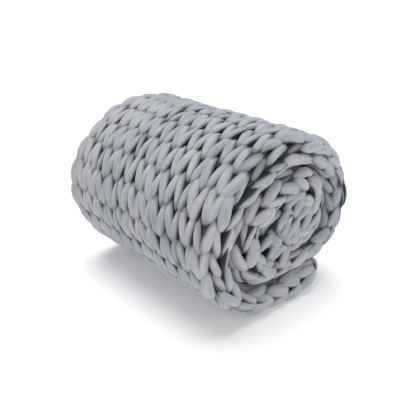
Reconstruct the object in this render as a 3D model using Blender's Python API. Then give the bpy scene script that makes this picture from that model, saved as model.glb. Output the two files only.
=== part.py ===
"""Chunky hand-knit weighted blanket, folded in three and rolled up, lying on its side.

The blanket is one piece, so the model is one closed solid. +X runs along the roll, +Z is up and the
tail of the roll lies on the floor on the +Y side. The origin is under the middle of the roll.

The section is a spiral. A "turn angle" starts at the tail and winds inwards, clockwise as seen from
+X. From a pole inside the core, the table ROLL gives the outer face of the wrap at every eighth of
a turn. The face of one wrap is the back of the wrap outside it, so one table holds all the wraps.
"""
import bpy
import bmesh
import math
from collections import namedtuple
from mathutils import Vector

MM = 0.001

# Driving sizes, in metres
LENGTH = 425 * MM            # along the roll
POLE_Y = 21 * MM             # the pole that the spiral winds round
POLE_Z = 156 * MM
TAIL_ANGLE = -55.0           # degrees, from +Y, where the tail ends
RIM_DEPTH = 20 * MM          # how far the grooves between wraps lie below their crowns

# Knit gauge
WALES = 11                   # columns of stitches between the two rims
ROWS_PER_TURN = 24           # rows of stitches in the outermost turn
COLUMNS_PER_WALE = 4         # edge, leg, middle, leg
STEPS_PER_ROW = 3

# The tail's rounded end
TAIL_BULGE = 30 * MM
TAIL_STITCH = 5 * MM         # dents between the stitches of the bound-off edge
TAIL_LEAN = 45.0             # degrees of turn over which the tail's end comes upright
TAIL_START = 8.0             # how far in, along the turn, its outer corner starts
TAIL_STOP = 6.0              # and how far short of a whole turn its inner corner stops

# The flat strip that the roll rests on
FLAT_FADE = 7 * MM           # the relief fades out over this height above the floor

# How the soft roll wavers along and around itself
WAVER = 1.8 * MM

# One row for every 45 degrees of turn: the radius of the wrap's outer face from the pole, and how
# far the wrap's edge lies inside each end of the roll
Turn = namedtuple("Turn", "radius near_in far_in")
TURN_STEP = 45.0
ROLL = [
    Turn(176, 2, 6), Turn(163, 0, 4), Turn(190, 0, 2), Turn(217, 0, 0),
    Turn(194, 1, 0), Turn(175, 2, 0), Turn(172, 1, 1), Turn(168, 2, 3),
    Turn(110, 6, 6), Turn(104, 7, 8), Turn(130, 6, 8), Turn(140, 4, 6),
    Turn(115, 3, 5), Turn(112, 4, 6), Turn(118, 5, 8), Turn(112, 8, 9),
    Turn(72, 9, 10), Turn(57, 8, 12), Turn(60, 6, 12), Turn(68, 5, 10),
    Turn(50, 6, 9), Turn(41, 8, 10), Turn(36, 9, 12), Turn(29, 10, 14),
    Turn(20, 12, 15), Turn(14, 13, 16), Turn(11, 13, 16), Turn(9, 13, 16),
    Turn(8, 13, 16), Turn(8, 13, 16), Turn(8, 13, 16), Turn(8, 13, 16),
    Turn(8, 13, 16),
]
WRAPS = 3                    # whole turns of the strip

# Across one wrap's edge, from its outer face inwards: the share of its thickness and the depth of
# the surface there. A fold of two layers comes first, then the third layer's selvedge.
Edge = namedtuple("Edge", "share depth")
NEAR_EDGE = [Edge(0.09, 6), Edge(0.30, 0), Edge(0.62, 10), Edge(0.83, 3)]
FAR_EDGE = [Edge(0.13, 4), Edge(0.34, 10), Edge(0.66, 0), Edge(0.90, 6)]

# Relief of one stitch, a pair of legs that meet at the inward end of the row. One row for each
# step along it: how deep each column lies, and how far each leg stands from the wale's middle as
# a share of the wale.
Step = namedtuple("Step", "edge leg middle spread")
STITCH = [Step(6, 6, 5, 0.36), Step(9, 0, 12, 0.28), Step(13, 1, 6, 0.17)]

# The chain of stitches along each wrap's edge dips between its stitches
EDGE_STITCH = 5 * MM
EDGE_FADE = 60 * MM          # the dips shallow out inside this radius

GREY_YARN = (0.37, 0.38, 0.42, 1.0)
YARN_ROUGHNESS = 0.9


def clear_scene():
    for thing in list(bpy.data.objects):
        bpy.data.objects.remove(thing, do_unlink=True)


def smooth_row(field, turn):
    """Read one column of ROLL at a turn angle, on a smooth curve through its rows."""
    place = min(max(turn / TURN_STEP, 0.0), len(ROLL) - 1.001)
    index = int(place)
    t = place - index
    values = []
    for k in (index - 1, index, index + 1, index + 2):
        values.append(getattr(ROLL[min(max(k, 0), len(ROLL) - 1)], field))
    before, start, end, after = values
    slope_in = (end - before) / 2
    slope_out = (after - start) / 2
    return (start * (1 + 2 * t) * (1 - t) ** 2 + slope_in * t * (1 - t) ** 2
            + end * t * t * (3 - 2 * t) + slope_out * t * t * (t - 1)) * MM


def smoothstep(x):
    x = min(max(x, 0.0), 1.0)
    return x * x * (3 - 2 * x)


def waver(turn, x):
    """A slow unevenness of the outer face."""
    around = math.radians(turn)
    along = x / LENGTH * 2 * math.pi
    return WAVER * (math.sin(3 * around + 0.8 * along) + 0.6 * math.sin(5 * around - 1.7 * along + 1.0)) / 1.6


def face_lengths():
    """The length of the wraps' outer face from the tail to each degree of turn."""
    points = []
    for turn in range(int(360 * (WRAPS + 1)) + 1):
        ry, rz = ray(turn)
        radius = smooth_row("radius", turn)
        points.append((ry * radius, rz * radius))
    lengths = [0.0]
    for here, there in zip(points, points[1:]):
        lengths.append(lengths[-1] + math.dist(here, there))
    return lengths


def row_at(turn, lengths):
    """How many rows of stitches lie between the tail and a turn angle."""
    index = min(int(turn), len(lengths) - 2)
    size = lengths[index] + (lengths[index + 1] - lengths[index]) * (turn - index)
    return ROWS_PER_TURN * size / lengths[360]


def sample_turns(steps):
    """Turn angles that space the stitch steps evenly along the outermost wrap, repeated inwards."""
    lengths = face_lengths()
    first = []
    for sample in range(steps):
        wanted = sample * ROWS_PER_TURN / steps
        low, high = 0.0, 360.0
        while high - low > 1e-6:
            middle = (low + high) / 2
            low, high = (middle, high) if row_at(middle, lengths) < wanted else (low, middle)
        first.append(low if sample else 0.0)
    return [first[k % steps] + 360.0 * (k // steps) for k in range(steps * (WRAPS + 1) + 1)]


def ray(turn):
    """Unit vector in Y-Z from the pole outwards."""
    angle = math.radians(TAIL_ANGLE - turn)
    return math.cos(angle), math.sin(angle)


def wound(turn):
    """The turn angle that a step of the grid takes, so that the tail's end stands upright."""
    start = TAIL_START * smoothstep(1 - turn / TAIL_LEAN)
    stop = TAIL_STOP * smoothstep(1 - abs(turn - 360.0) / TAIL_LEAN)
    return turn + start - stop


def groove_point(turn):
    """Y and Z on the outer face of a wrap, which is the back of the wrap outside it."""
    turn = wound(turn)
    ry, rz = ray(turn)
    radius = smooth_row("radius", turn)
    return POLE_Y + ry * radius, POLE_Z + rz * radius


def section_point(turn, share):
    """Y and Z of a point inside a wrap: share 0 is its outer face and 1 its inner face."""
    outer_y, outer_z = groove_point(turn)
    inner_y, inner_z = groove_point(turn + 360.0)
    y = outer_y + (inner_y - outer_y) * share
    z = outer_z + (inner_z - outer_z) * share
    if turn == 0:
        y += TAIL_BULGE * math.sqrt(max(1 - (2 * share - 1) ** 2, 0.0))
    return y, z


def face_vertex(bm, sample, column, turns):
    """A vertex of the stitched outer face, at a step around the first turn."""
    turn = turns[sample]
    stitch = STITCH[sample % STEPS_PER_ROW]
    wale = column // COLUMNS_PER_WALE
    part = column % COLUMNS_PER_WALE
    width = (LENGTH - 2 * RIM_DEPTH) / WALES
    shift = {0: 0.0, 1: 0.5 - stitch.spread, 2: 0.5, 3: 0.5 + stitch.spread}[part]
    depth = {0: stitch.edge, 1: stitch.leg, 2: stitch.middle, 3: stitch.leg}[part] * MM
    x = -LENGTH / 2 + RIM_DEPTH + width * (wale + shift)
    at_rim = column in (0, WALES * COLUMNS_PER_WALE)
    y, z = section_point(turn, 0.0)
    ry, rz = ray(turn)
    fade = smoothstep((z - FLAT_FADE * 0.1) / FLAT_FADE)
    sink = 0.0 if at_rim or turn in (0.0, 360.0) else (depth * fade + waver(turn, x) * fade)
    return bm.verts.new((x, y - ry * sink, max(z - rz * sink, 0.0)))


def tail_vertex(bm, share, column):
    """A vertex of the tail's rounded end, dented between the wales."""
    width = (LENGTH - 2 * RIM_DEPTH) / WALES
    x = -LENGTH / 2 + RIM_DEPTH + width * column / COLUMNS_PER_WALE
    y, z = section_point(0.0, share)
    dent = TAIL_STITCH * math.sin(math.pi * share) if column % COLUMNS_PER_WALE in (0, 2) else 0.0
    return bm.verts.new((x, y - dent, max(z, 0.0)))


def make_side(bm, turns, steps):
    """The stitched outer face and the tail's end: a grid of loops along the roll."""
    shares = [edge.share for edge in NEAR_EDGE]
    loops = []
    for column in range(WALES * COLUMNS_PER_WALE + 1):
        loop = [face_vertex(bm, sample, column, turns) for sample in range(steps + 1)]
        loop += [tail_vertex(bm, share, column) for share in reversed(shares)]
        loops.append(loop)
    for left, right in zip(loops, loops[1:]):
        count = len(left)
        for k in range(count):
            bm.faces.new((left[k], right[k], right[(k + 1) % count], left[(k + 1) % count]))
    return loops[0], loops[-1]


def make_end(bm, loop, turns, steps, edge, field, side):
    """One end of the roll: a spiral band of wrap edges that starts at the loop of the side."""
    last = steps * WRAPS
    end_x = side * LENGTH / 2
    lengths = face_lengths()

    def lift(turn, share, depth):
        y, z = section_point(turn, share)
        x = end_x - side * (smooth_row(field, turn) + depth)
        return bm.verts.new((x, y, max(z, 0.0)))

    # The grooves: the loop of the side gives the first turn, and every other step is kept after it
    groove = {sample: loop[sample] for sample in range(steps + 1)}
    for sample in range(steps + 2, last + steps + 1, 2):
        groove[sample] = lift(turns[sample], 0.0, RIM_DEPTH)

    # The crowns and dips of each wrap's edge
    ribs = {0: list(reversed(loop[steps + 1:]))}
    for sample in range(1, last + 1):
        if sample > steps and sample % 2:
            continue
        turn = turns[sample]
        dip = EDGE_STITCH * (0.5 + 0.5 * math.cos(2 * math.pi * row_at(turn, lengths)))
        dip *= min(smooth_row("radius", turn) / EDGE_FADE, 1.0)
        ribs[sample] = [lift(turn, e.share, e.depth * MM + dip) for e in edge]

    # Skin the band from one kept step to the next
    order = sorted(ribs)
    for here, there in zip(order, order[1:]):
        low = [groove[here]] + ribs[here]
        high = [groove[there]] + ribs[there]
        for k in range(len(low) - 1):
            add_face(bm, (low[k], low[k + 1], high[k + 1], high[k]), side)
    for here in range(0, last, 2):
        row = [sample for sample in (here, here + 1, here + 2) if sample in ribs]
        outline = [ribs[sample][-1] for sample in row]
        add_face(bm, outline + [groove[here + 2 + steps], groove[here + steps]], -side)

    # The core closes on the strip's inner end
    hole = [groove[sample] for sample in range(last, last + steps + 1, 2)]
    hole += list(reversed(ribs[last]))
    middle = sum((vert.co for vert in hole), Vector()) / len(hole)
    centre = bm.verts.new(middle)
    for k, vert in enumerate(hole):
        add_face(bm, (vert, hole[(k + 1) % len(hole)], centre), -side)


def add_face(bm, corners, side):
    bm.faces.new(corners if side > 0 else tuple(reversed(corners)))


def make_roll(collection, material):
    steps = ROWS_PER_TURN * STEPS_PER_ROW
    turns = sample_turns(steps)
    bm = bmesh.new()
    far_loop, near_loop = make_side(bm, turns, steps)
    make_end(bm, near_loop, turns, steps, NEAR_EDGE, "near_in", 1)
    make_end(bm, far_loop, turns, steps, FAR_EDGE, "far_in", -1)
    bmesh.ops.triangulate(bm, faces=bm.faces[:], quad_method="SHORT_EDGE")
    bmesh.ops.recalc_face_normals(bm, faces=bm.faces[:])
    mesh = bpy.data.meshes.new("blanket_roll")
    bm.to_mesh(mesh)
    bm.free()
    mesh.materials.append(material)
    mesh.shade_smooth()
    roll = bpy.data.objects.new("blanket_roll", mesh)
    collection.objects.link(roll)
    return roll


def make_yarn_material():
    material = bpy.data.materials.new("grey_yarn")
    material.use_nodes = True
    shader = material.node_tree.nodes["Principled BSDF"]
    shader.inputs["Base Color"].default_value = GREY_YARN
    shader.inputs["Roughness"].default_value = YARN_ROUGHNESS
    shader.inputs["Metallic"].default_value = 0.0
    return material


def main():
    clear_scene()
    collection = bpy.data.collections.new("weighted_blanket")
    bpy.context.scene.collection.children.link(collection)
    make_roll(collection, make_yarn_material())


main()
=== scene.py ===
# %% [markdown]
# # A chunky knitted blanket, folded in three and rolled up
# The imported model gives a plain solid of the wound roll. This script dresses it in the yarn that the
# real blanket is knitted from: a soft tube about as thick as a thumb, worked in plain stocking stitch.
# Everything is in metres. +X runs along the roll, +Z is up, and the tail of the roll lies on the +Y side.

# %% Load the frame
import math

import bpy
import numpy as np
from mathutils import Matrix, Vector


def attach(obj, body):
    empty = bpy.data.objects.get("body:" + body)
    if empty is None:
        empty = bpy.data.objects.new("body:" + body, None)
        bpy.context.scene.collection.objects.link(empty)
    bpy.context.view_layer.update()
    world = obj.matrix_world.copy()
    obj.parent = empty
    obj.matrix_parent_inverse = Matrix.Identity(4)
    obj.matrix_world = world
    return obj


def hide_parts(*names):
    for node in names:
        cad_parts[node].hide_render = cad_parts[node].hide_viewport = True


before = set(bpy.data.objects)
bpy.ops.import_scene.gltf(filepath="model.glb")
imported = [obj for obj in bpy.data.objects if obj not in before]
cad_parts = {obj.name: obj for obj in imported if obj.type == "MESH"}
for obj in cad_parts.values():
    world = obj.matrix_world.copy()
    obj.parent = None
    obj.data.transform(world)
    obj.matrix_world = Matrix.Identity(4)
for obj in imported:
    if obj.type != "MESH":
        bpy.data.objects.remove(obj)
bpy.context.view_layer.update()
MM = 0.001

# %% [markdown]
# ## The wound form
# The same short table that shapes the solid gives every wrap of the roll. The turn angle starts at the
# tail and winds inwards. For every 45 degrees a row holds the radius of the wrap's outer face from a pole
# inside the core, and how far the wrap's edge lies inside each end of the roll. The back of one wrap is
# the face of the next, so reading the table a whole turn further on gives the back.

# %% The table of turns
LENGTH = 425 * MM
POLE = np.array([21 * MM, 156 * MM])
TAIL_ANGLE = -55.0
TURN_STEP = 45.0
FULL_TURN = 360
TURN_TABLE = {
    "radius": [176, 163, 190, 217, 194, 175, 172, 168, 110, 104, 130, 140, 115, 112, 118, 112,
               72, 57, 60, 68, 50, 41, 36, 29, 20, 14, 11, 9, 8, 8, 8, 8, 8],
    "near_in": [2, 0, 0, 0, 1, 2, 1, 2, 6, 7, 6, 4, 3, 4, 5, 8,
                9, 8, 6, 5, 6, 8, 9, 10, 12, 13, 13, 13, 13, 13, 13, 13, 13],
    "far_in": [6, 4, 2, 0, 0, 0, 1, 3, 6, 8, 8, 6, 5, 6, 8, 9,
               10, 12, 12, 10, 9, 10, 12, 14, 15, 16, 16, 16, 16, 16, 16, 16, 16],
}


def turn_column(name, turn, unit=MM):
    """Read a column of the table at turn angles, on a smooth curve through its rows."""
    rows = np.array(TURN_TABLE[name], float) * unit
    # The last place stays just short of the last row, so that a row always follows it
    place = np.clip(np.asarray(turn, float) / TURN_STEP, 0.0, len(rows) - 1.001)
    index = place.astype(int)
    t = place - index
    last = len(rows) - 1
    before, start, end, after = (rows[np.clip(index + k, 0, last)] for k in (-1, 0, 1, 2))
    return (start * (1 + 2 * t) * (1 - t) ** 2 + (end - before) / 2 * t * (1 - t) ** 2
            + end * t * t * (3 - 2 * t) + (after - start) / 2 * t * t * (t - 1))


def smoothstep(x):
    """Rise smoothly from 0 at x = 0 to 1 at x = 1."""
    x = np.clip(x, 0.0, 1.0)
    return x * x * (3 - 2 * x)


print("radius at the tail", float(turn_column("radius", 0.0)), "m")

# %% [markdown]
# The tail's cut end stands upright on the floor, while the spiral's own rays lean. A small shift of the
# turn angle near the tail brings the end upright, exactly as the solid has it.

# %% Points of the wraps
TAIL_LEAN = 45.0             # the shift fades out over this many degrees
TAIL_START = 8.0             # degrees of shift at the tail's end, on its face
TAIL_STOP = 6.0              # and on its back, one turn further in


def ray(turn):
    """The direction from the pole at turn angles."""
    angle = np.radians(TAIL_ANGLE - turn)
    return np.stack([np.cos(angle), np.sin(angle)], -1)


def groove_point(turn):
    """Y and Z on the outer face of a wrap at turn angles."""
    turn = np.asarray(turn, float)
    start = TAIL_START * smoothstep(1 - turn / TAIL_LEAN)
    stop = TAIL_STOP * smoothstep(1 - np.abs(turn - FULL_TURN) / TAIL_LEAN)
    turn = turn + start - stop
    return POLE + ray(turn) * turn_column("radius", turn)[..., None]


def wrap_frame(turn):
    """The face of a wrap and the vector from its face to its back."""
    face = groove_point(turn)
    return face, groove_point(np.asarray(turn, float) + FULL_TURN) - face


print("the wrap is %.0f mm thick half a turn in" % (np.linalg.norm(wrap_frame(180.0)[1]) / MM))

# %% [markdown]
# Rows of stitches follow each other evenly along the outer face, so the length of the face is measured in
# steps of one degree. A place along the strip is then counted in rows from the tail.

# %% Rows along the spiral
ROWS_PER_TURN = 22
FINE_TURNS = np.arange(0.0, TURN_STEP * (len(TURN_TABLE["radius"]) - 1) + 0.5, 1.0)
SPIRAL = ray(FINE_TURNS) * turn_column("radius", FINE_TURNS)[:, None]
FACE_LENGTH = np.concatenate([[0.0], np.cumsum(np.linalg.norm(np.diff(SPIRAL, axis=0), axis=1))])
ROW = FACE_LENGTH[FULL_TURN] / ROWS_PER_TURN


def turn_of_row(row):
    """The turn angle that lies a number of rows in from the tail."""
    return np.interp(np.asarray(row, float) * ROW, FACE_LENGTH, FINE_TURNS)


print("one row of stitches takes %.1f mm of the face" % (ROW / MM))

# %% [markdown]
# The rows go on round the tail's end, which is half an ellipse seen from the side, and a little way back
# along its upper side. Rows before the tail have negative numbers.

# %% Round the tail's end
TAIL_BULGE = 30 * MM         # how far the round end stands out
TAIL_FACE, TAIL_DEPTH = wrap_frame(0.0)
TAIL_THICK = float(np.linalg.norm(TAIL_DEPTH))
TAIL_OUT = np.array([-TAIL_DEPTH[1], TAIL_DEPTH[0]]) / -TAIL_THICK
TAIL_MEAN = math.sqrt((TAIL_BULGE ** 2 + (TAIL_THICK / 2) ** 2) / 2)


def strip_frame(row):
    """Turn angle, face, depth and outward direction at a place counted in rows from the tail."""
    row = np.asarray(row, float)
    angle = np.clip(-row * ROW / TAIL_MEAN, 0.0, np.pi)[:, None]
    behind = np.maximum(-row - np.pi * TAIL_MEAN / ROW, 0.0)
    turn = turn_of_row(np.where(row < 0, behind, row))
    face, depth = wrap_frame(turn)
    outward = -depth / np.linalg.norm(depth, axis=1, keepdims=True)

    # The strip's upper side behind the tail's end
    back_side = (behind > 0)[:, None]
    face = np.where(back_side, face + depth, face)
    depth = np.where(back_side, -depth, depth)
    outward = np.where(back_side, -outward, outward)

    # The round end itself
    round_end = (row < 0)[:, None] & (behind == 0)[:, None]
    middle = TAIL_FACE + TAIL_DEPTH / 2
    end_face = middle - TAIL_DEPTH / 2 * np.cos(angle) + TAIL_OUT * TAIL_BULGE * np.sin(angle)
    out_of_face = -TAIL_DEPTH * (TAIL_BULGE / TAIL_THICK) * np.cos(angle)
    out_of_end = TAIL_OUT * TAIL_THICK / 2 * np.sin(angle)
    end_outward = out_of_face + out_of_end
    end_outward /= np.linalg.norm(end_outward, axis=1, keepdims=True)
    face = np.where(round_end, end_face, face)
    depth = np.where(round_end, 2 * (middle - end_face), depth)
    outward = np.where(round_end, end_outward, outward)
    return turn, face, depth, outward


print("the tail's end is %.0f mm thick" % (TAIL_THICK / MM))

# %% [markdown]
# ## One knitted row
# In stocking stitch one length of yarn runs right across the row. It dives behind the fabric between two
# columns, comes to the front as the left leg of a stitch, goes behind again at the head of the loop and
# comes forward as the right leg. Knitters call such a column of stitches a wale. A surface with a stitch
# pattern pressed into it would look flat where the legs overlap, so the yarn's real path is drawn, with
# one sine wave and two cosines. `part` counts stitches along the row. The legs come together at the foot
# of the loop, which makes the braid-like columns.

# %% The path of the yarn in the flat fabric
LEG_SWING = 0.225            # how far the legs swing, in wales
LEG_LEAN = 0.16              # they lean toward the near end, in wales to a row of height
LOOP_HEIGHT = 0.90           # half the height of a loop, in rows
LOOP_FRONT = 7 * MM          # how far the yarn's middle comes forward
LOOP_BACK = 10 * MM          # how far it goes behind
LOOP_BLUNT = 0.25            # 0 is a plain wave, more keeps the yarn in front and behind for longer
YARN_WIDTH = 19.6 * MM
YARN_THICKNESS = 17 * MM
BACK_SQUEEZE = 0.40          # the yarn's girth behind the fabric, as a share of its girth in front
LEG_TAPER = 0.65             # 1 tapers a leg evenly to its ends, less keeps it blunt
LOOSE_SWING = 0.015          # stitches on a fold stand looser: their legs swing this much further,
LOOSE_TAPER = 0.25           # their ends are blunter by this much,
LOOSE_GIRTH = 0.06           # and their yarn is plumper by this share


def flat_row(part, loose=0.0):
    """Across, along and through the fabric, and girth, at places counted in stitches."""
    across = part + (LEG_SWING + LOOSE_SWING * loose) * np.sin(4 * np.pi * part)
    along = -LOOP_HEIGHT * np.cos(2 * np.pi * part)
    across = across + LEG_LEAN * (1 - loose) * along
    wave = -np.cos(4 * np.pi * part)
    wave = wave * (1 + LOOP_BLUNT - LOOP_BLUNT * wave ** 2)
    through = np.where(wave > 0, LOOP_FRONT, LOOP_BACK) * wave
    front = 0.5 + 0.5 * wave
    girth = BACK_SQUEEZE + (1 - BACK_SQUEEZE) * front ** (LEG_TAPER - LOOSE_TAPER * loose)
    return across, along, through, girth * (1 + LOOSE_GIRTH * loose)


print("loops stand %.0f mm high, in rows %.0f mm apart" % (2 * LOOP_HEIGHT * ROW / MM, ROW / MM))

# %% [markdown]
# ## How the blanket is folded
# Before it is rolled the blanket is folded in three, like a letter. The outer layer turns round a wide
# fold at the near end and becomes the inner layer, and the middle layer lies between them. At the far
# end the inner layer turns into the middle one round a tighter fold, beside the outer layer's own
# edge, which curls. Every round is half an ellipse, since its bulge and the thickness of the cloth in it
# are all that such a round needs. Its path takes a place counted in wales and gives X, the share of the
# wrap's thickness, the direction that the outside of the cloth faces, as its parts along X and out of the
# wrap, and how deep the backs of the loops may reach there.

# %% The round of a fold
END_WALE = 33 * MM           # a wale on a fold
YARN_DEEP = 8 * MM           # the wales keep their width this far below the fold's surface
FOLD_SQUARE = 0.75           # 1 is a plain ellipse, less fills its inner corner
FOLD_ROOM = 9 * MM           # the backs of the loops keep this far from a fold's opposite face
FLAT_ROOM = 18 * MM          # and get this much more where the cloth lies flat,
FLAT_ANGLE = math.radians(35)    # which ends at this angle
LEAST_ROOM = 4 * MM
LEAST_SLOPE = 0.02           # stops the inner room from growing without end at the crest


def mean_round(bulge, thick, share_from, share_to):
    """The mean radius of a fold where its wales keep their width."""
    high = thick * (share_to - share_from) / 2
    return np.sqrt(((bulge - YARN_DEEP) ** 2 + (high - YARN_DEEP) ** 2) / 2)


def fold_room(over, high, bulge, out_r, size):
    """How deep the backs of the loops may reach at an angle round a fold."""
    inner = (high * (1 - np.cos(over)) - FOLD_ROOM) / np.maximum(-out_r / size, LEAST_SLOPE)
    flatness = high / bulge
    steepness = bulge / high
    chord = 2 * size * (flatness * np.sin(over) ** 2 + steepness * np.cos(over) ** 2) / (
        (flatness * np.sin(over)) ** 2 + (steepness * np.cos(over)) ** 2)
    outer = chord - FOLD_ROOM + FLAT_ROOM * (1 - smoothstep(over / FLAT_ANGLE))
    return np.maximum(np.where(over > np.pi / 2, inner, outer), LEAST_ROOM)


def fold_round(u, first_u, first_angle, side, flat_x, bulge, thick, share_from, share_to, wale=END_WALE):
    """Cloth that lies flat, turns through half an ellipse and lies flat again; first_u is at first_angle."""
    high = thick * (share_to - share_from) / 2
    mean = mean_round(bulge, thick, share_from, share_to)
    angle = first_angle + (u - first_u) * wale / mean
    over = np.clip(angle, 0, np.pi)
    flat = np.minimum(angle, 0) - np.maximum(angle - np.pi, 0)
    square = np.where(over > np.pi / 2, FOLD_SQUARE, 1.0)
    x = side * (flat_x + bulge * np.sin(over) ** square + flat * mean)
    share = (share_from + share_to) / 2 - (share_to - share_from) / 2 * np.sign(np.cos(over)) * (
        np.abs(np.cos(over)) ** square)
    out_x = side * high * np.sin(over)
    out_r = bulge * np.cos(over)
    size = np.hypot(out_x, out_r)
    return x, share, out_x / size, out_r / size, fold_room(over, high, bulge, out_r, size)


print("a wale is %.0f mm wide on a fold" % (END_WALE / MM))

# %% [markdown]
# The near fold is as thick as the whole wrap. Where the wales fall on it changes along the winding, and
# here and there the fold stands away from the wrap inside it and leaves a dark hollow. The flat face
# between the two ends stretches a little, so that its wales meet both rounds.

# %% The outer layer from end to end
FACE_WALES = 12
MIDDLE = 0.5                 # a wale's middle lies this far on from its start
NEAR_BULGE = 29 * MM         # how far the near fold stands out from the flat cloth
EDGE_BULGE = 20 * MM         # and the curled edge
EDGE_SHARE = 0.46            # the curled edge takes this share of the wrap, the far fold the rest
EDGE_ANGLE = math.radians(62)    # where the first wale stands on the curled edge
EDGE_WALE = 25 * MM          # a wale on it
LEAST_SHARE = 0.7            # of the wrap's thickness, where the near fold leaves a hollow
WALE_SPREAD = 0.10           # the wales are this much wider at the near end than halfway
WALE_SWAY = -17 * MM         # and in the middle of the face they sway by up to this much,
SWAY_MIDDLE = 155.0          # not at all at this turn angle,
SWAY_WAVES = 1.4             # and with this many waves to a turn
# The table's two further columns: where the first wale on the near fold stands, in degrees round it, and
# how far the fold stands away from the wrap inside it, in millimetres
TURN_TABLE["first_angle"] = [54, 56, 56, 56, 56, 56, 56, 54, 52, 44, 34, 26, 25, 26, 30, 40,
                             50, 52, 54, 54, 54, 54, 54, 60, 60, 60, 60, 60, 60, 60, 60, 60, 60]
TURN_TABLE["hollow"] = [2, 5, 13, 4, 2, 2, 3, 6, 4, 6, 8, 2, 1, 2, 4, 3,
                        3, 4, 5, 3, 3, 3, 2, 1, 0, 0, 0, 0, 0, 0, 0, 0, 0]


def outer_path(u, turn):
    """The outer layer from its curled edge at the far end to the inside of the near fold."""
    thick = np.linalg.norm(wrap_frame(turn)[1], axis=-1)
    share_to = np.maximum(1 - turn_column("hollow", turn) / thick, LEAST_SHARE)
    near_x = LENGTH / 2 - turn_column("near_in", turn) - NEAR_BULGE
    near_u = FACE_WALES + MIDDLE
    near_angle = np.radians(turn_column("first_angle", turn, 1))
    near = fold_round(u, near_u, near_angle, 1, near_x, NEAR_BULGE, thick, 0.0, share_to)
    far_x = LENGTH / 2 - turn_column("far_in", turn) - EDGE_BULGE
    far = fold_round(-u, -MIDDLE, EDGE_ANGLE, -1, far_x, EDGE_BULGE, thick, 0.0, EDGE_SHARE, EDGE_WALE)

    from_u = MIDDLE + EDGE_ANGLE * mean_round(EDGE_BULGE, thick, 0.0, EDGE_SHARE) / EDGE_WALE
    to_u = near_u - near_angle * mean_round(NEAR_BULGE, thick, 0.0, share_to) / END_WALE
    along = np.clip((u - from_u) / (to_u - from_u), 0, 1)
    sway = WALE_SWAY * np.sin(np.pi * along) * np.sin(np.radians(turn - SWAY_MIDDLE) * SWAY_WAVES)
    spread = along - WALE_SPREAD * along * (1 - along)
    face = (-far_x + (near_x + far_x) * spread + sway, 0 * u, 0 * u, 1 + 0 * u, 1 + 0 * u)
    return [np.select([u > to_u, u < from_u], [near_value, far_value], face_value)
            for near_value, far_value, face_value in zip(near, far, face)]


print("the near fold bulges %.0f mm, the curled edge %.0f mm" % (NEAR_BULGE / MM, EDGE_BULGE / MM))

# %% [markdown]
# The fold at the far end is tighter. One wale runs along its crest.

# %% The far fold
FAR_BULGE = 24 * MM


def far_fold_path(u, turn):
    """The fold between the inner and the middle layer at the far end, with a wale's middle at its crest."""
    thick = np.linalg.norm(wrap_frame(turn)[1], axis=-1)
    flat_x = LENGTH / 2 - turn_column("far_in", turn) - FAR_BULGE
    return fold_round(u, MIDDLE, math.pi / 2, -1, flat_x, FAR_BULGE, thick, EDGE_SHARE, 1.0)


print("the far fold bulges %.0f mm" % (FAR_BULGE / MM))

# %% [markdown]
# ## From flat rows to the roll
# A hand-made blanket is never even, so every leg of every stitch gets its own small shift, and no two are
# alike. The shifts fade out between the legs, because the yarn there is held by its neighbours.

# %% Uneven stitches
SEED = 11
SHIFTS = ("across", "along", "through", "girth", "tilt")
MAX_ROWS, MAX_LEGS = 64, 48
MOST_SHIFT = 1.8             # times the sizes below
SHIFT_ACROSS = 0.045         # wales
SHIFT_ALONG = 0.06           # rows
SHIFT_THROUGH = 1.1 * MM
SHIFT_GIRTH = 0.07           # shares of the girth
SHIFT_TILT = 0.16            # radians, how far a leg rolls about itself
FACE_LEGS, HEART_LEGS, FOLD_LEGS = 6, 12, 40    # where these rows' first legs stand in the table
rng = np.random.default_rng(SEED)
LEG_SHIFTS = rng.normal(0.0, 1.0, (MAX_ROWS, MAX_LEGS, len(SHIFTS))).clip(-MOST_SHIFT, MOST_SHIFT)


def leg_shifts(row_number, part, first_leg):
    """The shifts of every place on a row, strongest in the middle of a leg."""
    leg = np.clip(np.floor(2 * part).astype(int) + first_leg, 0, MAX_LEGS - 1)
    return LEG_SHIFTS[row_number, leg] * (np.sin(2 * np.pi * part) ** 2)[:, None]


print("shifts", ", ".join(SHIFTS), "for %d rows of %d legs" % (MAX_ROWS, MAX_LEGS))

# %% [markdown]
# A row is drawn flat, loosened by its shifts, and then laid on the roll: `along` becomes a turn angle,
# `across` goes through the fold paths, and `through` moves along the cloth's outward direction. Each row
# also remembers how deep it has sunk below the tops of the stitches. The material paints shade on it by
# that depth, since light hardly reaches the yarn behind its neighbours.

# %% Lay one row on the roll
STITCH_STEPS = 22            # points to a stitch
ROW_WAVE = 0.05              # rows wander by this much, in rows,
WAVE_ALONG = 1.3             # in waves with this many radians to a wale
WAVE_ROWS = 0.7              # and this many to a row
EDGE_PART = -0.45            # at the far end a row starts here, under the curled edge or the fold
CLEAN_EDGE = 0.95            # this many of its first stitches get no painted shade,
EDGE_FADE = 2.5              # which comes in this many times more slowly than at a hidden end,
END_FADE = 0.4               # where it takes this many stitches


def row_parts(first, last):
    """Evenly spaced places on a row, counted in stitches."""
    return np.linspace(first, last, int(round((last - first) * STITCH_STEPS)) + 1)


def square_up(points, facing):
    """The direction of the yarn at each point, and its outward direction made square to that."""
    tangent = np.gradient(points, axis=0)
    tangent /= np.linalg.norm(tangent, axis=1, keepdims=True)
    facing = facing - tangent * (facing * tangent).sum(1, keepdims=True)
    return tangent, facing / np.linalg.norm(facing, axis=1, keepdims=True)


def shadow_share(part, first, last):
    """How much of the painted shade in the depths a row takes on, which starts at none at its ends."""
    inside = part - first
    if first == EDGE_PART:
        inside = (inside - CLEAN_EDGE) / EDGE_FADE
    if last < FACE_WALES:
        inside = np.minimum(inside, last - part)
    return smoothstep(inside / END_FADE)


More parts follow.
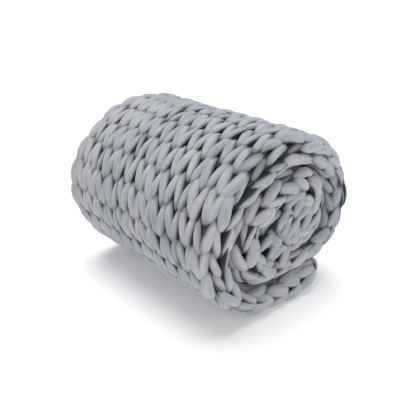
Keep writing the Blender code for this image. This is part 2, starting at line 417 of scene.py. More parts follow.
def lay_row(row_number, row, first, last, path, first_leg=FACE_LEGS, loose=None, dark=1.0):
    """Points, outward directions, girths and sunk depths of one row of yarn laid on the roll; the depths set
    its painted shade.
    """
    part = row_parts(first, last)
    if loose is None:
        loose = smoothstep(part - FACE_WALES + MIDDLE) + smoothstep(MIDDLE - part)
    loose = loose + 0 * part
    across, along, through, girth = flat_row(part, loose)
    shifts = leg_shifts(row_number, part, first_leg) * (1 + loose)[:, None]
    across = across + SHIFT_ACROSS * shifts[:, 0]
    along = along + SHIFT_ALONG * shifts[:, 1]
    through = through + SHIFT_THROUGH * shifts[:, 2]
    girth = girth * (1 + SHIFT_GIRTH * shifts[:, 3])
    wander = ROW_WAVE * np.sin(part * WAVE_ALONG + row * WAVE_ROWS)
    turn, face, depth, outward = strip_frame(row - along + wander)
    x, share, out_x, out_r, room = path(across, turn)
    below = np.maximum(through - LOOP_FRONT - YARN_THICKNESS / 2, -room)
    yz = face + depth * share[:, None] + outward * (below * out_r)[:, None]
    points = np.column_stack([x + below * out_x, yz])
    tangent, facing = square_up(points, np.column_stack([out_x, outward * out_r[:, None]]))
    tilt = SHIFT_TILT * shifts[:, 4:5]
    facing = facing * np.cos(tilt) + np.cross(tangent, facing) * np.sin(tilt)
    return points, facing, girth, -below * shadow_share(part, first, last) * dark


print("a row across the face has %d points" % len(row_parts(EDGE_PART, FACE_WALES)))

# %% [markdown]
# The cloth's inner end is tucked into the heart of the roll. At both ends of the roll a few stitches of it
# face outwards and close the middle of the spiral. They lie in a plane, so they need no wound form.

# %% Lay the stitches in the heart
HEART_CENTER = np.array([26 * MM, 158 * MM])    # Y and Z
HEART_IN = 9 * MM            # how far its stitches stand inside the ends of the solid
HEART_WALE = 40 * MM
HEART_ROW = 44 * MM
HEART_TURN = math.radians(44)    # the direction in which its loops open
HEART_LOOSE = 0.6
HEART_SHIFT = 0.08           # wales
HEART_SHIFT_THROUGH = 1.5 * SHIFT_THROUGH


def lay_heart(side, row_number, row, first, last):
    """One row of yarn across the heart, facing out of the near end (side 1) or the far end (side -1)."""
    part = row_parts(first, last)
    across, along, through, girth = flat_row(part, HEART_LOOSE)
    shifts = leg_shifts(row_number, part, HEART_LEGS)
    opening = np.array([math.cos(HEART_TURN), math.sin(HEART_TURN)])
    beside = np.array([-opening[1], opening[0]])
    below = through + HEART_SHIFT_THROUGH * shifts[:, 2] - LOOP_FRONT - YARN_THICKNESS / 2
    yz = (HEART_CENTER + opening * ((along + row) * HEART_ROW)[:, None]
          + beside * ((across - MIDDLE + HEART_SHIFT * shifts[:, 0]) * HEART_WALE)[:, None])
    points = np.column_stack([side * (LENGTH / 2 - HEART_IN + below), yz])
    _, facing = square_up(points, np.tile([float(side), 0.0, 0.0], (len(part), 1)))
    return points, facing, girth, -below


print("a wale is %.0f mm wide in the heart" % (HEART_WALE / MM))

# %% [markdown]
# ## Sweeping the yarn
# The rows are only lines so far. Bevelled curve objects would give tubes too, but a Geometry Nodes tree
# can also store where each point lies on the yarn and push its surface about, so a tree turns the rows
# into yarn. It is built with one short helper for each kind of step that it takes often.

# %% Helpers for node trees


def add_node(tree, kind, inputs=None, **settings):
    """Add a node. Each of its inputs gets a plain value, or a link from another node's output."""
    made = tree.nodes.new(kind)
    for name, value in settings.items():
        setattr(made, name, value)
    for name, value in (inputs or {}).items():
        if isinstance(value, bpy.types.NodeSocket):
            tree.links.new(value, made.inputs[name])
        else:
            made.inputs[name].default_value = value
    return made


def add_maths(tree, operation, *values):
    """Add a maths node, fed with numbers or other nodes' outputs, and return its output."""
    return add_node(tree, "ShaderNodeMath", dict(enumerate(values)), operation=operation).outputs[0]


def keep_value(tree, geometry, kind, name, value):
    """Keep a value on a geometry's points. Returns the geometry and the kept value."""
    kept = add_node(tree, "GeometryNodeCaptureAttribute", {"Geometry": geometry})
    kept.capture_items.new(kind, name)
    tree.links.new(value, kept.inputs[name])
    return kept.outputs["Geometry"], kept.outputs[name]


def read_value(tree, name, kind):
    """Read a value that the rows carry on their points."""
    reader = add_node(tree, "GeometryNodeInputNamedAttribute", {"Name": name}, data_type=kind)
    return reader.outputs["Attribute"]


print("helpers:", add_node.__name__, add_maths.__name__, keep_value.__name__, read_value.__name__)

# %% [markdown]
# Lines become curves, and each curve keeps the outward direction it was given, so that an oval swept
# along it never twists. Both the curve's length and the oval's own coordinates are kept. Together they
# say where each point lies on the straightened yarn, which the material reads.

# %% Rows and section of the yarn
YARN_SIZES = {
    "Width": ("NodeSocketFloat", YARN_WIDTH),
    "Thickness": ("NodeSocketFloat", YARN_THICKNESS),
    "Sides": ("NodeSocketInt", 12),
    "Lumps": ("NodeSocketFloat", 0.5 * MM),
    "Lump Size": ("NodeSocketFloat", 14 * MM),
    "Seed": ("NodeSocketFloat", 3.0),
}


def rows_as_curves(tree, rows):
    """The rows as curves that face outwards, and the length along them."""
    curves = add_node(tree, "GeometryNodeMeshToCurve", {"Mesh": rows})
    facing = read_value(tree, "facing", "FLOAT_VECTOR")
    turned = add_node(tree, "GeometryNodeSetCurveNormal", {"Curve": curves.outputs[0], "Normal": facing},
                      mode="FREE")
    length = add_node(tree, "GeometryNodeSplineParameter").outputs["Length"]
    return keep_value(tree, turned.outputs[0], "FLOAT", "Length", length)


def oval_section(tree, sizes):
    """The yarn's oval section, and its own coordinates."""
    circle = add_node(tree, "GeometryNodeCurvePrimitiveCircle", {"Resolution": sizes["Sides"], "Radius": 1.0})
    size = add_node(tree, "ShaderNodeCombineXYZ", {
        "X": add_maths(tree, "MULTIPLY", sizes["Thickness"], 0.5),
        "Y": add_maths(tree, "MULTIPLY", sizes["Width"], 0.5), "Z": 1.0})
    oval = add_node(tree, "GeometryNodeTransform", {"Geometry": circle.outputs["Curve"],
                                                    "Scale": size.outputs[0]})
    place = add_node(tree, "GeometryNodeInputPosition").outputs[0]
    return keep_value(tree, oval.outputs[0], "VECTOR", "Around", place)


print("the yarn's section is %.1f x %.1f mm, with" % (YARN_WIDTH / MM, YARN_THICKNESS / MM),
      YARN_SIZES["Sides"][1], "sides")

# %% [markdown]
# The oval is swept at the girth stored on every point: plump where the yarn shows and squeezed where it
# passes behind. A slow seeded noise then pushes the surface in and out, which keeps the tube from looking
# machined.

# %% Sweep and lumps
LUMP_DETAIL = 1.0


def sweep_yarn(tree, curves, length, section, around):
    """Tubes along the rows, with the place on the straightened yarn stored on their points."""
    sweep = add_node(tree, "GeometryNodeCurveToMesh", {
        "Curve": curves, "Profile Curve": section, "Scale": read_value(tree, "girth", "FLOAT"),
        "Fill Caps": True})
    apart = add_node(tree, "ShaderNodeSeparateXYZ", {0: around})
    place = add_node(tree, "ShaderNodeCombineXYZ", {
        "X": apart.outputs["X"], "Y": apart.outputs["Y"], "Z": length})
    store = add_node(tree, "GeometryNodeStoreNamedAttribute", {
        "Geometry": sweep.outputs[0], "Name": "yarn", "Value": place.outputs[0]},
        data_type="FLOAT_VECTOR", domain="POINT")
    return store.outputs[0]


def add_lumps(tree, yarn, sizes):
    """Push the yarn's surface in and out by a slow noise."""
    noise = add_node(tree, "ShaderNodeTexNoise", {
        "Vector": add_node(tree, "GeometryNodeInputPosition").outputs[0], "W": sizes["Seed"],
        "Scale": add_maths(tree, "DIVIDE", 1.0, sizes["Lump Size"]), "Detail": LUMP_DETAIL},
        noise_dimensions="4D")
    swing = add_maths(tree, "MULTIPLY_ADD", noise.outputs[0], 2.0, -1.0)
    push = add_node(tree, "ShaderNodeVectorMath", {
        0: add_node(tree, "GeometryNodeInputNormal").outputs[0],
        "Scale": add_maths(tree, "MULTIPLY", swing, sizes["Lumps"])}, operation="SCALE")
    lumpy = add_node(tree, "GeometryNodeSetPosition", {"Geometry": yarn, "Offset": push.outputs[0]})
    return lumpy.outputs[0]


print("the lumps reach up to %.1f mm in and out" % (YARN_SIZES["Lumps"][1] / MM))

# %% [markdown]
# The whole tree has a named input for each size, a seed, and the finish. It ends in real geometry with its
# material on it.

# %% The yarn tree


def make_yarn_tree():
    """The tree that turns rows of points into yarn."""
    tree = bpy.data.node_groups.new("sweep_yarn", "GeometryNodeTree")
    tree.interface.new_socket("Rows", in_out="INPUT", socket_type="NodeSocketGeometry")
    tree.interface.new_socket("Yarn", in_out="OUTPUT", socket_type="NodeSocketGeometry")
    for name, (kind, value) in YARN_SIZES.items():
        tree.interface.new_socket(name, in_out="INPUT", socket_type=kind).default_value = value
    tree.interface.new_socket("Finish", in_out="INPUT", socket_type="NodeSocketMaterial")
    start = tree.nodes.new("NodeGroupInput").outputs
    end = tree.nodes.new("NodeGroupOutput")
    curves, length = rows_as_curves(tree, start["Rows"])
    section, around = oval_section(tree, start)
    yarn = add_lumps(tree, sweep_yarn(tree, curves, length, section, around), start)
    smooth = add_node(tree, "GeometryNodeSetShadeSmooth", {"Geometry": yarn})
    real = add_node(tree, "GeometryNodeRealizeInstances", {"Geometry": smooth.outputs[0]})
    finish = add_node(tree, "GeometryNodeSetMaterial", {"Geometry": real.outputs[0],
                                                        "Material": start["Finish"]})
    tree.links.new(finish.outputs[0], end.inputs[0])
    return tree


yarn_tree = make_yarn_tree()
print("yarn tree with", len(yarn_tree.nodes), "nodes")

# %% [markdown]
# The tree works on an object whose mesh is nothing but the rows as chains of edges. Its result is read
# back as a plain mesh, the modifier goes, and whatever the weight of the roll presses below the floor is
# laid flat on it.

# %% From rows to a finished piece
ROW_VALUES = {"facing": ("FLOAT_VECTOR", "vector"), "girth": ("FLOAT", "value"), "sunk": ("FLOAT", "value")}


def set_input(modifier, name, value):
    """Set a modifier's input by the identifier of the socket with this name."""
    for item in modifier.node_group.interface.items_tree:
        if item.name == name and item.in_out == "INPUT":
            modifier[item.identifier] = value


def rows_mesh(name, rows):
    """A mesh of the rows as chains of edges, with their values on its points."""
    points, *values = (np.concatenate(kind) for kind in zip(*rows))
    edges = []
    start = 0
    for row in rows:
        count = len(row[0])
        edges += [(start + k, start + k + 1) for k in range(count - 1)]
        start += count
    lines = bpy.data.meshes.new(name + "_rows")
    lines.from_pydata(points.tolist(), edges, [])
    for (value_name, (kind, field)), value in zip(ROW_VALUES.items(), values):
        lines.attributes.new(value_name, kind, "POINT").data.foreach_set(field, value.ravel())
    return lines


def press_flat(mesh):
    """Lay every point that hangs below the floor on it."""
    coords = np.empty(len(mesh.vertices) * 3)
    mesh.vertices.foreach_get("co", coords)
    coords[2::3] = np.maximum(coords[2::3], 0.0)
    mesh.vertices.foreach_set("co", coords)
    mesh.update()


def make_piece(name, rows, material):
    """Sweep yarn along rows and keep the result as a plain mesh."""
    lines = rows_mesh(name, rows)
    piece = bpy.data.objects.new(name, lines)
    bpy.context.scene.collection.objects.link(piece)
    modifier = piece.modifiers.new("sweep", "NODES")
    modifier.node_group = yarn_tree
    set_input(modifier, "Finish", material)
    shown = piece.evaluated_get(bpy.context.evaluated_depsgraph_get())
    mesh = bpy.data.meshes.new_from_object(shown)
    piece.modifiers.clear()
    piece.data = mesh
    bpy.data.meshes.remove(lines)
    press_flat(mesh)
    mesh.name = name
    print("%s: %d rows, %d faces" % (name, len(rows), len(mesh.polygons)))
    return piece


print("each row carries", ", ".join(ROW_VALUES))

# %% [markdown]
# ## The yarn's finish
# The yarn is a tube of fine cotton jersey stuffed with fibre. It is a cool light grey, matt, with a faint
# bloom of fibres. The dye isn't quite even, so a broad noise on Object coordinates moves the colour
# between a warmer and a cooler grey, through a ramp with two stops.

# %% The dye
YARN_WARM = (0.475, 0.48, 0.505, 1.0)
YARN_COOL = (0.385, 0.415, 0.485, 1.0)
MOTTLE_SCALE = 9.0           # the noise's steps to a metre
MOTTLE_DETAIL = 2.0
COOL_UNTIL, WARM_FROM = 0.35, 0.65


def add_ramp(tree, value, stops):
    """A colour ramp with stops, each a place and a colour."""
    ramp = add_node(tree, "ShaderNodeValToRGB", {"Fac": value})
    elements = ramp.color_ramp.elements
    while len(elements) < len(stops):
        elements.new(0.5)
    for element, (place, colour) in zip(elements, stops):
        element.position = place
        element.color = colour
    return ramp.outputs["Color"]


def add_dye(tree, place):
    """The mottled colour of the dye at a place."""
    broad = add_node(tree, "ShaderNodeTexNoise", {"Vector": place, "Scale": MOTTLE_SCALE,
                                                  "Detail": MOTTLE_DETAIL})
    return add_ramp(tree, broad.outputs["Fac"], [(COOL_UNTIL, YARN_COOL), (WARM_FROM, YARN_WARM)])


print("dye from", YARN_COOL[:3], "to", YARN_WARM[:3])

# %% [markdown]
# From close up the jersey's own tiny columns run along the tube. They are drawn from the stored place on
# the straightened yarn, so they follow every bend. Sine waves round the tube and along it give the ribs
# and their stitches, and a fine noise adds the loose fibres.

# %% The jersey's relief
JERSEY_COLUMNS = 44          # fine columns of jersey round the tube
JERSEY_PITCH = 1.1 * MM      # their stitches along it
COLUMN_HEIGHT = 0.5          # heights in the relief, against each other
STITCH_HEIGHT = 0.35
FIBRE_HEIGHT = 1.6
STITCH_SLANT = 3.0           # radians that their wave shifts between a column's crest and its side
FIBRE_SCALE = 900.0          # the noise's steps to a metre
FINE_DETAIL = 3.0


def add_jersey(tree, yarn_place, place):
    """The height of the jersey's ribs, stitches and fibres."""
    angle = add_maths(tree, "ARCTAN2", yarn_place["Y"], yarn_place["X"])
    column = add_maths(tree, "COSINE", add_maths(tree, "MULTIPLY", angle, JERSEY_COLUMNS))
    half_turn = add_maths(tree, "SINE", add_maths(tree, "MULTIPLY", angle, JERSEY_COLUMNS / 2))
    slant = add_maths(tree, "MULTIPLY", add_maths(tree, "ABSOLUTE", half_turn), STITCH_SLANT)
    along = add_maths(tree, "MULTIPLY", yarn_place["Z"], 2 * math.pi / JERSEY_PITCH)
    stitch = add_maths(tree, "COSINE", add_maths(tree, "ADD", along, slant))
    ribs = add_maths(tree, "MULTIPLY", column, COLUMN_HEIGHT)
    jersey = add_maths(tree, "MULTIPLY_ADD", stitch, STITCH_HEIGHT, ribs)
    fuzz = add_node(tree, "ShaderNodeTexNoise", {"Vector": place, "Scale": FIBRE_SCALE,
                                                 "Detail": FINE_DETAIL})
    return add_maths(tree, "ADD", jersey, add_maths(tree, "MULTIPLY", fuzz.outputs["Fac"], FIBRE_HEIGHT))


print("jersey with %d columns round the yarn" % JERSEY_COLUMNS)

# %% [markdown]
# Soft creases run along the yarn where its stuffing has shifted. A noise that is stretched along the yarn
# draws them, so it too reads the stored place.

# %% The creases
CREASE_SIZE = 7 * MM         # across the yarn
CREASE_STRETCH = 0.2         # they are this much finer across than along


def add_creases(tree, yarn):
    """The height of the creases on the straightened yarn."""
    stretch = add_node(tree, "ShaderNodeVectorMath", {0: yarn, 1: (1.0, 1.0, CREASE_STRETCH)},
                       operation="MULTIPLY")
    crease = add_node(tree, "ShaderNodeTexNoise", {"Vector": stretch.outputs[0], "Scale": 1 / CREASE_SIZE,
                                                   "Detail": FINE_DETAIL})
    return crease.outputs["Fac"]


print("creases %.0f mm wide" % (CREASE_SIZE / MM))

# %% [markdown]
# Two things change the dye's colour. It is lighter on the crests of the ribs and creases and darker in
# their hollows. Where the yarn dives behind its neighbours little light reaches it, so shade is painted
# there. A point's depth is what its row has sunk by, less its own height on the oval. A ramp turns that
# depth into the share of the colour that stays under the painted shade, steeply enough to outline every
# stitch.

# %% Lighter crests, and painted shade in the depths
RIB_TONE = {"From Min": -0.4, "From Max": 2.0, "To Min": 0.90, "To Max": 1.06}
CREASE_TONE = {"From Min": 0.32, "From Max": 0.62, "To Min": 0.83, "To Max": 1.10}
DEEPEST = 12 * MM            # the depth at the ramp's end
# Depths under the tops of the stitches, and the share of its colour that the yarn keeps there under the
# painted shade
SHADE_STOPS = [(3.0 * MM, 1.0), (4.2 * MM, 0.74), (6.0 * MM, 0.58), (7.8 * MM, 0.08)]
COLOUR_A, COLOUR_B, COLOUR_OUT = 6, 7, 2    # a Mix node's sockets for colours


def multiply_colours(tree, one, other):
    """The product of two colours; a number counts as a grey."""
    mix = add_node(tree, "ShaderNodeMix", {"Factor": 1.0, COLOUR_A: one, COLOUR_B: other},
                   data_type="RGBA", blend_type="MULTIPLY")
    return mix.outputs[COLOUR_OUT]


def add_relief_tone(tree, relief, crease):
    """The share of the colour that stays on ribs and creases: a little more on their crests, less in their
    hollows.
    """
    ribs = add_node(tree, "ShaderNodeMapRange", {"Value": relief, **RIB_TONE})
    streaks = add_node(tree, "ShaderNodeMapRange", {"Value": crease, **CREASE_TONE})
    return add_maths(tree, "MULTIPLY", ribs.outputs["Result"], streaks.outputs["Result"])


def add_shadow(tree, yarn_place):
    """The share of the colour that stays under the painted shade in the depths between stitches."""
    sunk = add_node(tree, "ShaderNodeAttribute", attribute_name="sunk").outputs["Fac"]
    girth = add_node(tree, "ShaderNodeAttribute", attribute_name="girth").outputs["Fac"]
    below = add_maths(tree, "SUBTRACT", sunk, add_maths(tree, "MULTIPLY", yarn_place["X"], girth))
    stops = [(depth / DEEPEST, (left, left, left, 1.0)) for depth, left in SHADE_STOPS]
    return add_ramp(tree, add_maths(tree, "DIVIDE", below, DEEPEST), stops)


print("the yarn keeps its whole colour down to %.0f mm" % (SHADE_STOPS[0][0] / MM))

# %% [markdown]
# The finish joins all of it: the colour, and two layers of bump, a fine one for the jersey and a soft one
# for the creases. Cotton is rough, reflects little and shows a sheen at its edges.

# %% The yarn material
YARN_ROUGHNESS = 0.92
YARN_SPECULAR = 0.25
YARN_SHEEN = 0.35
SHEEN_ROUGHNESS = 0.45
CREASE_BUMP = {"Strength": 0.6, "Distance": 4 * MM}
JERSEY_BUMP = {"Strength": 0.35, "Distance": 0.25 * MM}


def make_yarn_material(name):
    """The matt grey finish of the yarn."""
    material = bpy.data.materials.new(name)
    material.use_nodes = True
    tree = material.node_tree
    shader = tree.nodes["Principled BSDF"]
    shader.inputs["Roughness"].default_value = YARN_ROUGHNESS
    shader.inputs["Specular IOR Level"].default_value = YARN_SPECULAR
    shader.inputs["Sheen Weight"].default_value = YARN_SHEEN
    shader.inputs["Sheen Roughness"].default_value = SHEEN_ROUGHNESS
    place = add_node(tree, "ShaderNodeTexCoord").outputs["Object"]
    yarn = add_node(tree, "ShaderNodeAttribute", attribute_name="yarn").outputs["Vector"]
    yarn_place = add_node(tree, "ShaderNodeSeparateXYZ", {0: yarn}).outputs
    relief = add_jersey(tree, yarn_place, place)
    crease = add_creases(tree, yarn)

    relief_toned = multiply_colours(tree, add_dye(tree, place), add_relief_tone(tree, relief, crease))
    # painted shade: the yarn darkens with its depth below the tops of the stitches
    colour = multiply_colours(tree, relief_toned, add_shadow(tree, yarn_place))
    tree.links.new(colour, shader.inputs["Base Color"])
    folds = add_node(tree, "ShaderNodeBump", {"Height": crease, **CREASE_BUMP})
    bump = add_node(tree, "ShaderNodeBump", {"Height": relief, "Normal": folds.outputs["Normal"],
                                             **JERSEY_BUMP})
    tree.links.new(bump.outputs["Normal"], shader.inputs["Normal"])
    return material


yarn_finish = make_yarn_material("grey_yarn_finish")
print(yarn_finish.name, "with", len(yarn_finish.node_tree.nodes), "nodes")

# %% [markdown]
# The cloth under the stitches lies in shade, so instead of the yarn's colour it is painted a plain dark
# shade. The painted shade gets lighter toward the ends of the roll, where more light reaches it. The place
# along the roll, counted from its middle both ways, mixes the two colours.

# %% The painted shade under the stitches
SHADED_COLOUR = (0.05, 0.052, 0.062, 1.0)
END_COLOUR = (0.20, 0.205, 0.23, 1.0)
SHADED_UNTIL, LIT_FROM = 165 * MM, 178 * MM     # from the middle of the roll
SHADED_ROUGHNESS = 0.95
SHADED_SPECULAR = 0.1


def make_painted_shade_material(name):
    """Painted shade for the cloth under the stitches, lighter toward the ends of the roll."""
    material = bpy.data.materials.new(name)
    material.use_nodes = True
    tree = material.node_tree
    shader = tree.nodes["Principled BSDF"]
    shader.inputs["Roughness"].default_value = SHADED_ROUGHNESS
    shader.inputs["Specular IOR Level"].default_value = SHADED_SPECULAR
    place = add_node(tree, "ShaderNodeTexCoord").outputs["Object"]
    along = add_node(tree, "ShaderNodeSeparateXYZ", {0: place}).outputs["X"]
    lit = add_node(tree, "ShaderNodeMapRange", {"Value": add_maths(tree, "ABSOLUTE", along),
                                                "From Min": SHADED_UNTIL, "From Max": LIT_FROM})
    mix = add_node(tree, "ShaderNodeMix", {"Factor": lit.outputs["Result"], COLOUR_A: SHADED_COLOUR,
                                           COLOUR_B: END_COLOUR}, data_type="RGBA")
    tree.links.new(mix.outputs[COLOUR_OUT], shader.inputs["Base Color"])
    return material


painted_shade_material = make_painted_shade_material("painted_shade_yarn")
print(painted_shade_material.name, "with", len(painted_shade_material.node_tree.nodes), "nodes")

# %% [markdown]
# ## The outer layer
# Every row of the outermost wrap runs from the curled edge at the far end, across the whole roll, round
# the fold at the near end and a little way back inside, where its end is hidden. A few more rows go round
# the tail's end. The layer is cut into two pieces, so that neither gets too heavy.

# %% Knit the outer layer
FIRST_ROW = 0.6              # the first row stands this far from the tail, in rows
OUTER_ROWS = 24
END_ROWS = 4                 # rows that go round the tail's end
NEAR_PART = FACE_WALES + 3   # a row ends here, inside the near fold,
TAIL_PART = FACE_WALES + 0.6    # and here round the tail's end, where there is less room inside
outer_rows = []
for number in range(-END_ROWS, OUTER_ROWS):
    last = NEAR_PART if number >= 0 else TAIL_PART
    outer_rows.append(lay_row(number, FIRST_ROW + number, EDGE_PART, last, outer_path))
half = len(outer_rows) // 2
blanket_face_lower = make_piece("blanket_face_lower", outer_rows[:half], yarn_finish)
blanket_face_upper = make_piece("blanket_face_upper", outer_rows[half:], yarn_finish)

# %% [markdown]
# Further in only the ends of the rows show, so only they are knitted: the wide fold at the near end, and
# the outer layer's edge and the tighter fold at the far end. Three rows on each side close the heart.

# %% Knit the ends of the wraps
FAR_DARK = 0.4               # on the tight far fold the painted shade between the stitches is weaker
KNIT_TURN = 935.0            # the turn angle at which the knitted ends stop
NEAR_FROM = FACE_WALES - 1   # rows of the near fold start here, hidden by the wrap outside them,
FOLD_PART = 1.45             # rows of the far fold end here,
CURL_PART = 1.5              # and rows of the curled edge here
HEART_PARTS = (-0.6, 1.6)
HEART_ROWS = (-1.1, -0.1, 0.9)
near_rows = []
far_rows = []
number = 0
while turn_of_row(FIRST_ROW + number) < KNIT_TURN:
    row = FIRST_ROW + number
    far_rows.append(lay_row(number, row, EDGE_PART, FOLD_PART, far_fold_path, FOLD_LEGS, 1.0, FAR_DARK))
    if number >= OUTER_ROWS:
        near_rows.append(lay_row(number, row, NEAR_FROM, NEAR_PART, outer_path))
        far_rows.append(lay_row(number, row, EDGE_PART, CURL_PART, outer_path, dark=FAR_DARK))
    number += 1
for k, row in enumerate(HEART_ROWS):
    near_rows.append(lay_heart(1, k, row, *HEART_PARTS))
    far_rows.append(lay_heart(-1, k + len(HEART_ROWS), row, *HEART_PARTS))
blanket_near_end = make_piece("blanket_near_end", near_rows, yarn_finish)
blanket_far_end = make_piece("blanket_far_end", far_rows, yarn_finish)
print("rows in the whole strip:", number)

# %% [markdown]
# ## The layers inside
# Between the stitches one looks down onto the cloth beneath. Knitting all of that would cost many faces
# that nobody sees. Instead a ribbon as thick as the middle of the wrap follows the spiral under the yarn
# and closes every gap. Its section is a closed ring of ten points, repeated every few degrees.

# %% Lay the inner layers
RIBBON_TURN = 1060.0         # the ribbon's last turn angle, further in than the knitted ends
RIBBON_STEP = 6.0            # degrees
INNER_TOP = 0.31             # shares of the wrap's thickness
INNER_MIDDLE = 0.6
INNER_BOTTOM = 0.93
RIM_TOP = INNER_TOP + 0.01
RIM_BULGE = 6 * MM           # the ribbon's edge swells by this much in its middle
INNER_SETBACK = 29 * MM      # the ribbon ends this far inside the roll's near end
FAR_SETBACK = 20 * MM        # and this much more at the far end
CORE_TOP = 0.02              # under the outermost wrap the ribbon fills the whole thickness
CORE_BOTTOM = 1.04
CORE_SETBACK = 50 * MM       # but only this much further in
TOP_FILLS = 330.0            # turn angles where its top and its bottom begin to move out
BOTTOM_FILLS = 40.0
FILL_OVER = 60.0             # degrees that the change takes


def ribbon_section(turn):
    """The ribbon's section at a turn angle, as places along X and shares of the wrap's thickness."""
    near = LENGTH / 2 - INNER_SETBACK
    far = LENGTH / 2 - INNER_SETBACK - FAR_SETBACK
    top = INNER_TOP - (INNER_TOP - CORE_TOP) * smoothstep((turn - TOP_FILLS) / FILL_OVER)
    bottom = INNER_BOTTOM + (CORE_BOTTOM - INNER_BOTTOM) * smoothstep((turn - BOTTOM_FILLS) / FILL_OVER)
    return [(CORE_SETBACK - far, top), (near - CORE_SETBACK, top), (near, RIM_TOP),
            (near + RIM_BULGE, INNER_MIDDLE), (near, INNER_BOTTOM), (near - CORE_SETBACK, bottom),
            (CORE_SETBACK - far, bottom), (-far, INNER_BOTTOM), (-far - RIM_BULGE, INNER_MIDDLE),
            (-far, RIM_TOP)]


def make_inner_layers(name, material):
    """The ribbon that follows the spiral under the stitches."""
    turns = np.arange(RIBBON_STEP, RIBBON_TURN + 1, RIBBON_STEP)
    face, depth = wrap_frame(turns)
    verts = []
    for k, turn in enumerate(turns):
        section = ribbon_section(turn)
        verts += [(x, *(face[k] + depth[k] * share)) for x, share in section]
    ring = len(section)
    faces = []
    for start in range(0, len(verts) - ring, ring):
        for j in range(ring):
            a = start + j
            b = start + (j + 1) % ring
            faces.append((a, b, b + ring, a + ring))
    faces.append(tuple(range(ring))[::-1])
    faces.append(tuple(range(len(verts) - ring, len(verts))))
    mesh = bpy.data.meshes.new(name)
    mesh.from_pydata(verts, [], faces)
    mesh.materials.append(material)
    mesh.shade_smooth()
    piece = bpy.data.objects.new(name, mesh)
    bpy.context.scene.collection.objects.link(piece)
    return piece


# the ribbon is painted with the shade that falls under the stitches
blanket_inner_layers = make_inner_layers("blanket_inner_layers", painted_shade_material)
print("inner layers with", len(blanket_inner_layers.data.polygons), "faces")

# %% [markdown]
# ## Tie the pieces to the frame
# Every piece rides on the one body and stands for the solid roll, which is hidden.
# All of them are soft and thick.

BLANKET = (blanket_face_lower, blanket_face_upper, blanket_near_end, blanket_far_end, blanket_inner_layers)
for piece in BLANKET:
    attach(piece, "root")
    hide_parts("blanket_roll")
    print("declared", piece.name)

# %% [markdown]
# ## Floor, light and camera
# The roll lies on a pale matt floor that goes on far beyond the view, so that no edge of it shows. It
# glows a little, which keeps it nearly white where the lamps reach it weakly.

# %% The floor
FLOOR_REACH = 40.0           # metres to each side
FLOOR_COLOUR = (0.92, 0.92, 0.93, 1.0)
FLOOR_ROUGHNESS = 0.9
FLOOR_GLOW_COLOUR = (1.0, 0.98, 1.0, 1.0)
FLOOR_GLOW = 0.2

floor_mesh = bpy.data.meshes.new("floor")
floor_corners = [(x * FLOOR_REACH, y * FLOOR_REACH, 0.0) for x, y in ((-1, -1), (1, -1), (1, 1), (-1, 1))]
floor_mesh.from_pydata(floor_corners, [], [(0, 1, 2, 3)])
floor = bpy.data.objects.new("floor", floor_mesh)
bpy.context.scene.collection.objects.link(floor)
floor_paint = bpy.data.materials.new("pale_floor")
floor_paint.use_nodes = True
floor_shader = floor_paint.node_tree.nodes["Principled BSDF"]
floor_shader.inputs["Base Color"].default_value = FLOOR_COLOUR
floor_shader.inputs["Roughness"].default_value = FLOOR_ROUGHNESS
floor_shader.inputs["Emission Color"].default_value = FLOOR_GLOW_COLOUR
floor_shader.inputs["Emission Strength"].default_value = FLOOR_GLOW
floor_mesh.materials.append(floor_paint)
print("floor %.0f m wide" % (2 * FLOOR_REACH))

# %% [markdown]
# The sky is seen white but lights the roll only faintly, so that shadows between the stitches stay dark.
# A Light Path node tells the camera's own rays from the rays that carry light.

# %% The sky
SKY_COLOUR = (1.0, 1.0, 1.0, 1.0)
SKY_GLOW = 0.28
SKY_SEEN = 1.0

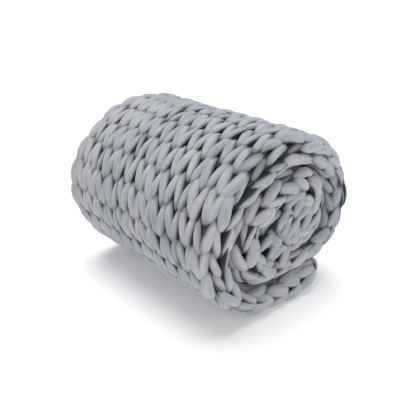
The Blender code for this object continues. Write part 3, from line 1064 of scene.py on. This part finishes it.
world = bpy.data.worlds.new("studio")
world.use_nodes = True
sky_tree = world.node_tree
sky_glow = sky_tree.nodes["Background"]
sky_glow.inputs["Color"].default_value = SKY_COLOUR
sky_glow.inputs["Strength"].default_value = SKY_GLOW
sky_seen = add_node(sky_tree, "ShaderNodeBackground", {"Color": SKY_COLOUR, "Strength": SKY_SEEN})
sky_ray = add_node(sky_tree, "ShaderNodeLightPath")
sky_mix = add_node(sky_tree, "ShaderNodeMixShader", {"Fac": sky_ray.outputs["Is Camera Ray"],
                                                     1: sky_glow.outputs[0], 2: sky_seen.outputs[0]})
sky_tree.links.new(sky_mix.outputs[0], sky_tree.nodes["World Output"].inputs["Surface"])
bpy.context.scene.world = world
bpy.context.scene.view_settings.view_transform = "Standard"
print("sky lights with", SKY_GLOW, "and is seen with", SKY_SEEN)

# %% [markdown]
# Two distant lamps light the roll: a strong one almost overhead and a weak one low over the near end. A
# sun's angle is how wide it looks in the sky, and these are very wide, so their shadows are soft.

# %% The lamps
LAMPS = {
    "key_light": {"place": (-0.45, 0.1, 2.6), "angle": 50, "strength": 2.5},
    "fill_light": {"place": (2.4, -0.3, 1.4), "angle": 70, "strength": 0.7},
}


def add_sun(name, place, angle, strength):
    """A distant lamp that shines from a place toward the roll."""
    lamp = bpy.data.lights.new(name, "SUN")
    lamp.angle = math.radians(angle)
    lamp.energy = strength
    light = bpy.data.objects.new(name, lamp)
    light.location = place
    light.rotation_euler = (-Vector(place)).to_track_quat("-Z", "Y").to_euler()
    bpy.context.scene.collection.objects.link(light)


for name, setup in LAMPS.items():
    add_sun(name, **setup)
print("lamps:", ", ".join(LAMPS))

# %% [markdown]
# The camera looks down at the near end and the face of the roll. It stands at a distance from a target
# inside the roll, in a direction given by two angles.

# %% The camera
CAMERA_AZIMUTH = math.radians(48.504)
CAMERA_ELEVATION = math.radians(23.673)
CAMERA_DISTANCE = 1.1345
CAMERA_TARGET = Vector((-0.0099, -0.0079, 0.1499))
CAMERA_LENS = 50.4

back = Vector((math.sin(CAMERA_AZIMUTH) * math.cos(CAMERA_ELEVATION),
               -math.cos(CAMERA_AZIMUTH) * math.cos(CAMERA_ELEVATION),
               math.sin(CAMERA_ELEVATION)))
camera_data = bpy.data.cameras.new("camera")
camera_data.lens = CAMERA_LENS
camera = bpy.data.objects.new("camera", camera_data)
camera.location = CAMERA_TARGET + back * CAMERA_DISTANCE
camera.rotation_euler = (-back).to_track_quat("-Z", "Y").to_euler()
bpy.context.scene.collection.objects.link(camera)
bpy.context.scene.camera = camera
print("camera at", tuple(round(v, 3) for v in camera.location))
